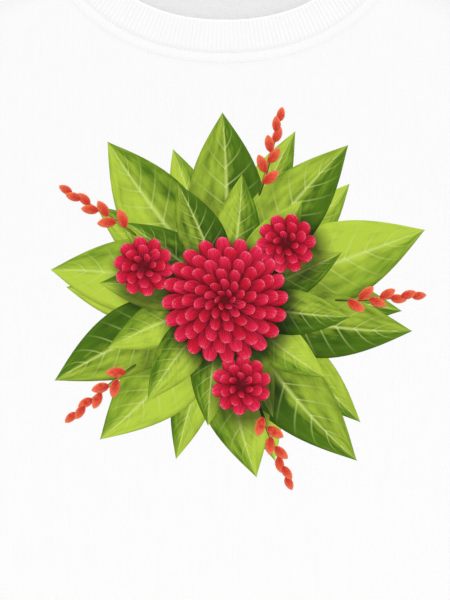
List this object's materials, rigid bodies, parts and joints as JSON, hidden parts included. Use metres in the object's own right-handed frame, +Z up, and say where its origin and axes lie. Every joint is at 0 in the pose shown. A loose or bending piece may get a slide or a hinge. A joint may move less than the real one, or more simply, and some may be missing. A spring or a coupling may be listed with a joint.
{
  "type": "crew-neck sweatshirt",
  "caption": "Long-sleeved knitted pullover with a round ribbed collar, ribbed cuffs and a ribbed waistband, lying flat on its back with its sleeves down.",
  "frame": {"origin": "middle of the garment's box, at the level of the surface it lies on", "axes": "+Z up, out of the chest; +Y from the hem towards the collar; +X towards the wearer's left sleeve"},
  "size_m": [0.9474, 0.698, 0.0128],
  "materials": {
    "fleece": "white cotton-blend fleece, fine flat knit outside and brushed inside",
    "rib": "white rib knit",
    "tape": "white woven herringbone tape"
  },
  "bodies": {
    "root": {"front_panel": "fleece", "back_panel": "fleece", "sleeve_left_front": "fleece", "sleeve_left_back": "fleece", "sleeve_right_front": "fleece", "sleeve_right_back": "fleece", "neckband": "rib", "cuff_left": "rib", "cuff_right": "rib", "waistband": "rib", "neck_tape": "tape"}
  },
  "joints": []
}
